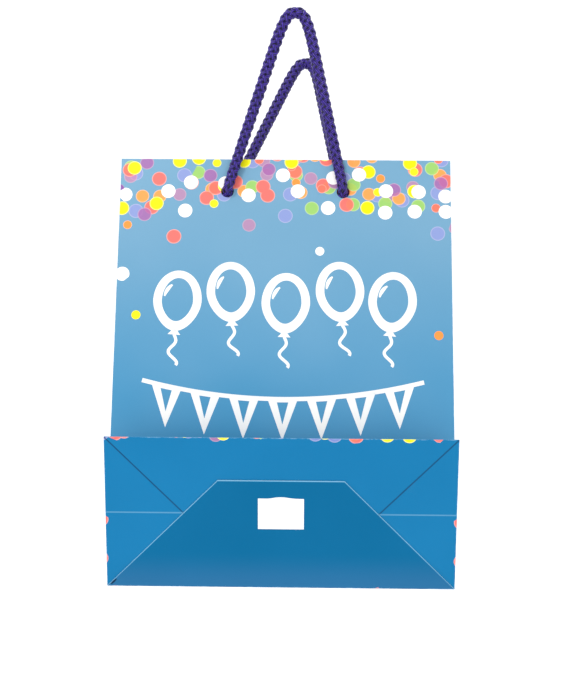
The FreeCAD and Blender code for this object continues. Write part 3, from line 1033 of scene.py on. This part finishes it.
def balloon(shape, centre, width, height, stroke, lean):
    """The outline of a balloon, narrower towards its neck, with a glint, a neck and a string."""
    turn = Matrix.Rotation(lean, 4, "Z")
    loops = []
    for inset in (0.0, stroke):
        ring = bmesh.ops.create_circle(shape, segments=56, radius=1.0)
        for vert in ring["verts"]:
            swell = 1 - 0.16 * max(0.0, -vert.co.y) ** 1.5
            vert.co.x *= (width - inset) * swell
            vert.co.y *= height - inset * (1.15 if vert.co.y < 0 else 0.9)
        bmesh.ops.transform(shape, matrix=Matrix.Translation(centre) @ turn, verts=ring["verts"])
        loops.append({edge for vert in ring["verts"] for edge in vert.link_edges})
    bmesh.ops.bridge_loops(shape, edges=list(loops[0] | loops[1]))
    place = Matrix.Translation(centre) @ turn
    glint = []
    for step in range(13):
        angle = math.radians(118 + 4.2 * step)
        glint.append(place @ Vector((0.56 * width * math.cos(angle), 0.58 * height * math.sin(angle), 0)))
    ribbon(shape, glint, [stroke * 0.45 * math.sin(math.pi * (0.12 + 0.76 * n / 12)) for n in range(13)])
    neck = [place @ Vector((0, -height + 0.4 * stroke - 0.28 * stroke * n, 0)) for n in range(4)]
    ribbon(shape, neck, [0.35 * stroke, 0.6 * stroke, 1.0 * stroke, 1.5 * stroke])
    string = []
    length = 1.0 * height
    for step in range(33):
        share = step / 32
        sway = 0.17 * width * math.sin(share * 8.5) * (0.4 + share)
        string.append(place @ Vector((sway, -height - 0.4 * stroke - share * length, 0)))
    ribbon(shape, string, [stroke * 0.36] * 33)


def swag(across):
    """Height of the pennants' string over the bottom crease."""
    return 97 * MM + 9 * MM * (across / (72 * MM)) ** 2


def pennant(shape, centre, width, height, stroke):
    """A triangular flag's outline that hangs from the string."""
    loops = []
    for inset in (0.0, stroke):
        half = width / 2 - 1.55 * inset
        top = -0.55 * inset
        point = -height + 2.6 * inset
        corners = [
            shape.verts.new(Vector((across, swag(across) + drop, 0)))
            for across, drop in ((centre - half, top), (centre, point), (centre + half, top))
        ]
        loops += [shape.edges.new((corners[n], corners[(n + 1) % 3])) for n in range(3)]
    bmesh.ops.bridge_loops(shape, edges=loops)


def motif(name, sheet, material):
    printing = bpy.context.scene.bag_print
    stroke = printing.stroke
    shape = bmesh.new()
    places = ((-57, 150, -4), (-28.5, 155, 3), (1, 149, -2), (30, 155.5, 4), (58, 150, -5))
    for across, up, lean in places:
        size = 13.0 * MM
        balloon(shape, Vector((across * MM, up * MM, 0)), size, 1.28 * size, stroke, math.radians(lean))
    line = [Vector((n * 2.4 * MM, swag(n * 2.4 * MM), 0)) for n in range(-31, 32)]
    ribbon(shape, line, [0.5 * stroke] * len(line))
    for flag in range(-3, 4):
        pennant(shape, flag * 20.5 * MM, 16 * MM, 22 * MM, 0.7 * stroke)
    bmesh.ops.triangulate(shape, faces=[face for face in shape.faces if len(face.verts) > 4])
    front = bmesh.ops.extrude_face_region(shape, geom=shape.faces[:])
    raised = {part for part in front["geom"] if isinstance(part, bmesh.types.BMVert)}
    for vert in shape.verts:
        over = printing.ink if vert in raised else 0.0
        vert.co.z = PAPER + 0.01 * MM + over + bow_of_wall(vert.co.x, vert.co.y)
    bmesh.ops.transform(shape, matrix=sheet.matrix(), verts=shape.verts)
    bmesh.ops.recalc_face_normals(shape, faces=shape.faces)
    return make_piece(name, shape, [material])


class BAG_OT_print(bpy.types.Operator):
    """Lay the white balloons and pennants on the front and the back"""

    bl_idname = "gift_bag.print"
    bl_label = "White print"

    def execute(self, context):
        ink = white_ink("white ink")
        for name, sheet, body in (("front_white_print", FRONT, "front"), ("back_white_print", BACK, "back")):
            piece = motif(name, sheet, ink)
            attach(piece, body)
        return {"FINISHED"}


# ---- rope ----
def smooth_route(points, name):
    """Evenly spaced points along the smooth line that the route's points guide."""
    curve = bpy.data.curves.new(name, "CURVE")
    curve.dimensions = "3D"
    curve.resolution_u = 24
    spline = curve.splines.new("NURBS")
    spline.points.add(len(points) - 1)
    for target, point in zip(spline.points, points):
        target.co = (*point, 1)
    spline.order_u = 3
    spline.use_endpoint_u = True
    guide = bpy.data.objects.new(name, curve)
    bpy.context.scene.collection.objects.link(guide)
    mesh = bpy.data.meshes.new_from_object(guide)
    line = [vert.co.copy() for vert in mesh.vertices]
    bpy.data.objects.remove(guide)
    bpy.data.meshes.remove(mesh)
    return line


def evenly_spaced(line, spacing):
    """Points a set distance apart along a line."""
    lengths = [0.0]
    for before, after in zip(line, line[1:]):
        lengths.append(lengths[-1] + (after - before).length)
    count = max(2, round(lengths[-1] / spacing))
    points = []
    piece = 0
    for number in range(count + 1):
        target = lengths[-1] * number / count
        while piece < len(line) - 2 and lengths[piece + 1] < target:
            piece += 1
        share = (target - lengths[piece]) / max(1e-12, lengths[piece + 1] - lengths[piece])
        points.append(line[piece].lerp(line[piece + 1], min(1.0, share)))
    return points


def carried_frames(points):
    """At each point, two directions square to the line that turn no more than the line does."""
    frames = []
    normal = None
    for number, point in enumerate(points):
        ahead = points[min(number + 1, len(points) - 1)] - points[max(number - 1, 0)]
        ahead.normalize()
        if normal is None:
            normal = ahead.orthogonal().normalized()
        normal = (normal - ahead * normal.dot(ahead)).normalized()
        frames.append((point, normal.copy(), ahead.cross(normal)))
    return frames


STRANDS = 4              # strands that run each way round
SECTION_POINTS = 8       # points round a strand
CORE_SHARE = 0.375       # radius of the filling against the rope's diameter


def swell(share):
    """The rope is pulled thinner near its holes and lies looser halfway up its legs."""
    return 0.88 + 0.2 * math.sin(math.pi * share) ** 0.5


def strand_map(shape):
    """The UV layer of the strands: millimetres along a strand, and turns round it."""
    layers = shape.loops.layers.uv
    return layers.get("strand") or layers.new("strand")


def into_hole(share):
    """Inside the bag the rope fills its hole and is drawn thin round the bend to its knot."""
    return 1.0 - 0.34 * min(1.0, max(0.0, (share - 0.16) / 0.2))


def braid(shape, points, diameter, pitch, girth=swell):
    """A hollow braid round a line: flat strands that pass over and under those that run the other way."""
    uv = strand_map(shape)
    middle = 0.37 * diameter
    weave = 0.055 * diameter
    half_thick = 0.11 * diameter
    half_wide = 0.175 * diameter
    frames = carried_frames(points)
    length = 0.0
    travelled = [0.0]
    for before, after in zip(points, points[1:]):
        length += (after - before).length
        travelled.append(length)
    for way in (1, -1):
        for strand in range(STRANDS):
            tube = []
            for (point, normal, other), gone in zip(frames, travelled):
                turn = 2 * math.pi * gone / pitch
                angle = way * turn + strand * 2 * math.pi / STRANDS
                outwards = normal * math.cos(angle) + other * math.sin(angle)
                round_way = other * math.cos(angle) - normal * math.sin(angle)
                ahead = normal.cross(other)
                strand_way = ahead * pitch + round_way * way * 2 * math.pi * middle
                wide_way = strand_way.cross(outwards).normalized()
                full = girth(gone / travelled[-1])
                radius = full * (middle + way * weave * math.cos(STRANDS * turn))
                tube.append((
                    point + outwards * radius, outwards * half_thick * full, wide_way * half_wide * full,
                ))
            sweep(shape, uv, tube, travelled)


def sweep(shape, uv, tube, travelled, painted_dark=False):
    """Carries an oval section along a strand from ring to ring; the core's section is painted dark all
    round, as painted shade.
    """
    centre, thick, wide = tube[0]
    ring = bmesh.ops.create_circle(shape, cap_ends=True, segments=SECTION_POINTS, radius=1.0)["verts"]
    angles = [math.atan2(vert.co.y, vert.co.x) for vert in ring]
    for vert, angle in zip(ring, angles):
        vert.co = centre + wide * math.cos(angle) + thick * math.sin(angle)
    current = ring
    for number, (centre, thick, wide) in enumerate(tube[1:], 1):
        following = []
        for angle in angles:
            following.append(shape.verts.new(centre + wide * math.cos(angle) + thick * math.sin(angle)))
        for corner in range(SECTION_POINTS):
            after = (corner + 1) % SECTION_POINTS
            face = shape.faces.new((current[corner], current[after], following[after], following[corner]))
            around = (0.5, 0.5) if painted_dark else (corner / SECTION_POINTS, (corner + 1) / SECTION_POINTS)
            along = (travelled[number - 1] / MM, travelled[number] / MM)
            places = (
                (along[0], around[0]), (along[0], around[1]),
                (along[1], around[1]), (along[1], around[0]),
            )
            for loop, place in zip(face.loops, places):
                loop[uv].uv = place
        current = following
    shape.faces.new(list(reversed(current)))


def core(shape, points, radius, girth=swell):
    """The rope's filling, painted dark all round: painted shade between the strands."""
    tube = []
    for number, (point, normal, other) in enumerate(carried_frames(points)):
        full = radius * girth(number / (len(points) - 1))
        tube.append((point, normal * full, other * full))
    uv = strand_map(shape)
    sweep(shape, uv, tube, [n * MM for n in range(len(points))], painted_dark=True)


def rope_piece(name, lines, diameter, pitch):
    """One piece of braided rope, of one or more runs."""
    rope = bpy.context.scene.bag_rope
    shape = bmesh.new()
    for line in lines:
        points = evenly_spaced(line, pitch / rope.steps)
        braid(shape, points, diameter, pitch)
        core(shape, points[::4] + points[-1:], CORE_SHARE * diameter)
    bmesh.ops.recalc_face_normals(shape, faces=shape.faces)
    return make_piece(name, shape, [bpy.data.materials["rope yarn"]], math.radians(75))


# The handles' routes: across the bag, and up from the hole's centre in the handle's plane
FRONT_ROUTE = [
    (-31.5 * MM, 0.0), (-12.5 * MM, 64.5 * MM), (-1.6 * MM, 101.5 * MM), (4.8 * MM, 104.8 * MM),
    (11.0 * MM, 101.1 * MM), (18.3 * MM, 65.0 * MM), (31.5 * MM, 0.0),
]
BACK_ROUTE = [
    (-31.5 * MM, 0.0), (-8.3 * MM, 62.6 * MM), (5.0 * MM, 98.5 * MM), (10.7 * MM, 101.0 * MM),
    (15.8 * MM, 97.4 * MM), (21.4 * MM, 62.5 * MM), (31.5 * MM, 0.0),
]
BACK_LEAN = math.radians(18.0)
TURN_STEPS = (0.6 * MM, 6.0 * MM)      # points up each leg where the rope turns out of its hole
TUCK = 0.4 * MM                        # how far the rope's end reaches into the hole


def handle_points(route, joint, face, lean):
    """The route in place, with a point at each end inside the hole and two where the rope turns up."""
    pivot = hinge_point(joint)
    rise = Vector((0, math.sin(lean), math.cos(lean)))
    outwards = math.copysign(1.0, pivot.y - face)
    turn = pivot.y - outwards * TUCK
    points = [Vector((across, turn, pivot.z)) + rise * up for across, up in route]
    first, last = points[0], points[-1]
    first_way = (points[1] - first).normalized()
    last_way = (points[-2] - last).normalized()
    inside = Vector((0, face - turn - outwards * TUCK, -0.6 * MM))
    first_turn = [first + first_way * step for step in TURN_STEPS]
    last_turn = [last + last_way * step for step in reversed(TURN_STEPS)]
    return [first + inside] + first_turn + points[1:-1] + last_turn + [last + inside]


class BAG_OT_handles(bpy.types.Operator):
    """Build the two braided rope handles, which bend where they leave their holes"""

    bl_idname = "gift_bag.handles"
    bl_label = "Rope handles"

    def execute(self, context):
        self.handle("front_rope", FRONT_ROUTE, "front_handle", "front", FRONT_LOW.y, 0.0)
        self.handle("back_rope", BACK_ROUTE, "back_handle", "back", BACK_HIGH.y, BACK_LEAN)
        return {"FINISHED"}

    def handle(self, name, route, body, panel, face, lean):
        rope = bpy.context.scene.bag_rope
        joint = body + "_swing"
        line = smooth_route(handle_points(route, joint, face, lean), name + "_guide")
        piece = rope_piece(name, [line], ROPE, rope.pitch)
        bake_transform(piece)
        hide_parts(body)


class BAG_OT_knots(bpy.types.Operator):
    """Build the pressed knots inside the bag and the rope's ends beside them"""

    bl_idname = "gift_bag.knots"
    bl_label = "Rope knots"

    def execute(self, context):
        self.knots("front_knots", "front_handle_knots", KNOTS_LOW, KNOTS_HIGH, FRONT_HIGH.y, 1)
        self.knots("back_knots", "back_handle_knots", BACK_KNOTS_LOW, BACK_KNOTS_HIGH, BACK_LOW.y, -1)
        return {"FINISHED"}

    def knots(self, name, node, low, high, face, inwards):
        """Knots lie flat against the hem, below or above their holes."""
        hem = face + inwards * (CARD + PAPER)
        far = high.y if inwards > 0 else low.y
        middle_y = (hem + far) / 2
        below = HOLE_HEIGHT - low.z > high.z - HOLE_HEIGHT
        height = low.z + KNOT_RADIUS if below else high.z - KNOT_RADIUS
        lines = []
        for side in (-HOLE_SIDE, HOLE_SIDE):
            centre = Vector((side, middle_y, height))
            lines.append(self.loops(centre, abs(far - hem)))
            towards = 1 if below else -1
            tail = [
                centre + Vector((-1.5 * MM, inwards * 1.2 * MM, 0)),
                centre + Vector((-5.0 * MM, inwards * 1.2 * MM, -towards * 3.5 * MM)),
                centre + Vector((-6.0 * MM, inwards * 0.8 * MM, -towards * 9.0 * MM)),
            ]
            lines.append(smooth_route(tail, name + "_tail_guide"))
        piece = rope_piece(name, lines, 3.3 * MM, 9 * MM)
        self.add_stubs(piece, face, inwards, height)
        stand_for(piece, node)

    def loops(self, centre, thick):
        """Three loops through each other, as an overhand knot pulled tight and pressed flat."""
        points = []
        reach = 3.75 * MM
        press = thick / 2 - 1.75 * MM
        for step in range(97):
            angle = 2 * math.pi * step / 96
            points.append(centre + Vector((
                reach * (math.sin(angle) + 2 * math.sin(2 * angle)) / 3,
                -press * math.sin(3 * angle),
                reach * (math.cos(angle) - 2 * math.cos(2 * angle)) / 3,
            )))
        return points

    def add_stubs(self, piece, face, inwards, height):
        """The rope at full size through the hole, and on to its knot."""
        rope = bpy.context.scene.bag_rope
        shape = bmesh.new()
        shape.from_mesh(piece.data)
        towards = math.copysign(1.0, height - HOLE_HEIGHT)
        for side in (-HOLE_SIDE, HOLE_SIDE):
            hole = Vector((side, face - inwards * 0.6 * MM, HOLE_HEIGHT - 0.5 * MM))
            inner = face + inwards * (CARD + PAPER + 2.4 * MM)
            points = [
                hole,
                Vector((side, inner, HOLE_HEIGHT)),
                Vector((side, inner, HOLE_HEIGHT + towards * 7.5 * MM)),
            ]
            line = smooth_route(points, "stub_guide")
            spaced = evenly_spaced(line, 0.6 * MM)
            braid(shape, spaced, ROPE, rope.pitch, into_hole)
            core(shape, spaced, CORE_SHARE * ROPE, into_hole)
        bmesh.ops.recalc_face_normals(shape, faces=shape.faces)
        for new_face in shape.faces:
            new_face.smooth = True
        shape.to_mesh(piece.data)
        shape.free()


# ---- stage ----
CAMERA_PLACE = Vector((0.0142, -0.679, -0.0184))
CAMERA_YAW = math.radians(0.82)
CAMERA_PITCH = math.radians(11.98)
CAMERA_ROLL = math.radians(0.65)
LENS = 66.3
SENSOR = 36.0
SKY = 0.7                # strength of the even light from all round


class BAG_OT_stage(bpy.types.Operator):
    """Set up the pale floor and backdrop, the soft lights and the camera"""

    bl_idname = "gift_bag.stage"
    bl_label = "Studio"

    def execute(self, context):
        context.scene.view_settings.view_transform = "Standard"
        self.camera()
        self.backdrop()
        self.lights()
        return {"FINISHED"}

    def camera(self):
        data = bpy.data.cameras.new("Camera")
        data.lens = LENS
        data.sensor_width = SENSOR
        data.clip_start = 0.01
        camera = bpy.data.objects.new("Camera", data)
        yaw = Matrix.Rotation(CAMERA_YAW, 4, "Z")
        pitch = Matrix.Rotation(math.pi / 2 + CAMERA_PITCH, 4, "X")
        roll = Matrix.Rotation(CAMERA_ROLL, 4, "Z")
        camera.matrix_world = Matrix.Translation(CAMERA_PLACE) @ yaw @ pitch @ roll
        bpy.context.scene.collection.objects.link(camera)
        bpy.context.scene.camera = camera

    def backdrop(self):
        """A floor that sweeps up into a wall behind the bag."""
        drop = -bpy.context.scene.bag_stage.floor_drop
        shape = bmesh.new()
        front = [shape.verts.new((-2.5, -2.5, drop)), shape.verts.new((2.5, -2.5, drop))]
        edge = shape.edges.new(front)
        turn = 0.5
        steps = [Vector((0, 4.3, 0))]
        for number in range(12):
            angle = math.pi / 24 * (2 * number + 1) / 2
            steps.append(Vector((0, math.cos(angle), math.sin(angle))) * turn * math.pi / 24)
        steps.append(Vector((0, 0, 2.5)))
        for step in steps:
            made = bmesh.ops.extrude_edge_only(shape, edges=[edge])
            verts = [part for part in made["geom"] if isinstance(part, bmesh.types.BMVert)]
            edge = next(part for part in made["geom"] if isinstance(part, bmesh.types.BMEdge) and
                        all(vert in verts for vert in part.verts))
            bmesh.ops.translate(shape, verts=verts, vec=step)
        bmesh.ops.recalc_face_normals(shape, faces=shape.faces)
        piece = make_piece("backdrop", shape, [studio_surface("pale sweep", (244, 244, 245), 0.9)])

    def lights(self):
        key = bpy.context.scene.bag_stage.key_power
        world = bpy.data.worlds.new("studio")
        world.use_nodes = True
        world.node_tree.nodes["Background"].inputs[0].default_value = (1.0, 1.0, 1.0, 1)
        world.node_tree.nodes["Background"].inputs[1].default_value = SKY
        bpy.context.scene.world = world
        for name, place, size, power in (
            ("key", (-0.5, -0.9, 1.0), 0.9, 0.85 * key),
            ("fill", (0.35, -1.3, 0.05), 0.8, 0.9 * key),
            ("top", (0.15, 0.2, 1.7), 1.0, 0.6 * key),
            ("glint", (-0.35, -0.75, 0.75), 0.08, 1.1 * key),
        ):
            data = bpy.data.lights.new(name, "AREA")
            data.size = size
            data.energy = power
            light = bpy.data.objects.new(name, data)
            target = Vector((0, 0, HEIGHT / 2))
            look = (target - Vector(place)).to_track_quat("-Z", "Y")
            light.matrix_world = Matrix.Translation(place) @ look.to_matrix().to_4x4()
            bpy.context.scene.collection.objects.link(light)


def finishes():
    """Everything that several pieces are finished with."""
    confetti_group()
    laminate_group()
    wear_group()
    plain_paper("bag inside", (243, 243, 240))
    plain_paper("cut edge", (214, 228, 236))
    plain_paper("label paper", (250, 250, 250), 0.6)
    grey_board("grey board")
    rope_yarn("rope yarn")


class BAG_PT_panel(bpy.types.Panel):
    bl_label = "Gift Bag"
    bl_idname = "BAG_PT_panel"
    bl_space_type = "VIEW_3D"
    bl_region_type = "UI"
    bl_category = "Gift Bag"

    def draw(self, context):
        for settings in (
            context.scene.bag_paper, context.scene.bag_print, context.scene.bag_rope, context.scene.bag_stage
        ):
            for name in settings.__annotations__:
                self.layout.prop(settings, name)
        for step in STEPS:
            self.layout.operator(step.bl_idname)


SETTINGS = (
    ("bag_paper", PaperSettings),
    ("bag_print", PrintSettings),
    ("bag_rope", RopeSettings),
    ("bag_stage", StageSettings),
)
STEPS = (
    BAG_OT_stage, BAG_OT_handles, BAG_OT_walls, BAG_OT_bottom,
    BAG_OT_hems, BAG_OT_print, BAG_OT_label, BAG_OT_knots,
)


def register():
    for name, group in SETTINGS:
        bpy.utils.register_class(group)
        setattr(bpy.types.Scene, name, bpy.props.PointerProperty(type=group))
    for item in STEPS + (BAG_PT_panel,):
        bpy.utils.register_class(item)


def unregister():
    for item in reversed(STEPS + (BAG_PT_panel,)):
        bpy.utils.unregister_class(item)
    for name, group in reversed(SETTINGS):
        delattr(bpy.types.Scene, name)
        bpy.utils.unregister_class(group)


def main():
    register()
    finishes()
    bpy.ops.gift_bag.stage()
    bpy.ops.gift_bag.handles()
    bpy.ops.gift_bag.walls()
    bpy.ops.gift_bag.bottom()
    bpy.ops.gift_bag.hems()
    bpy.ops.gift_bag.print()
    bpy.ops.gift_bag.label()
    bpy.ops.gift_bag.knots()


if __name__ == "__main__":
    main()
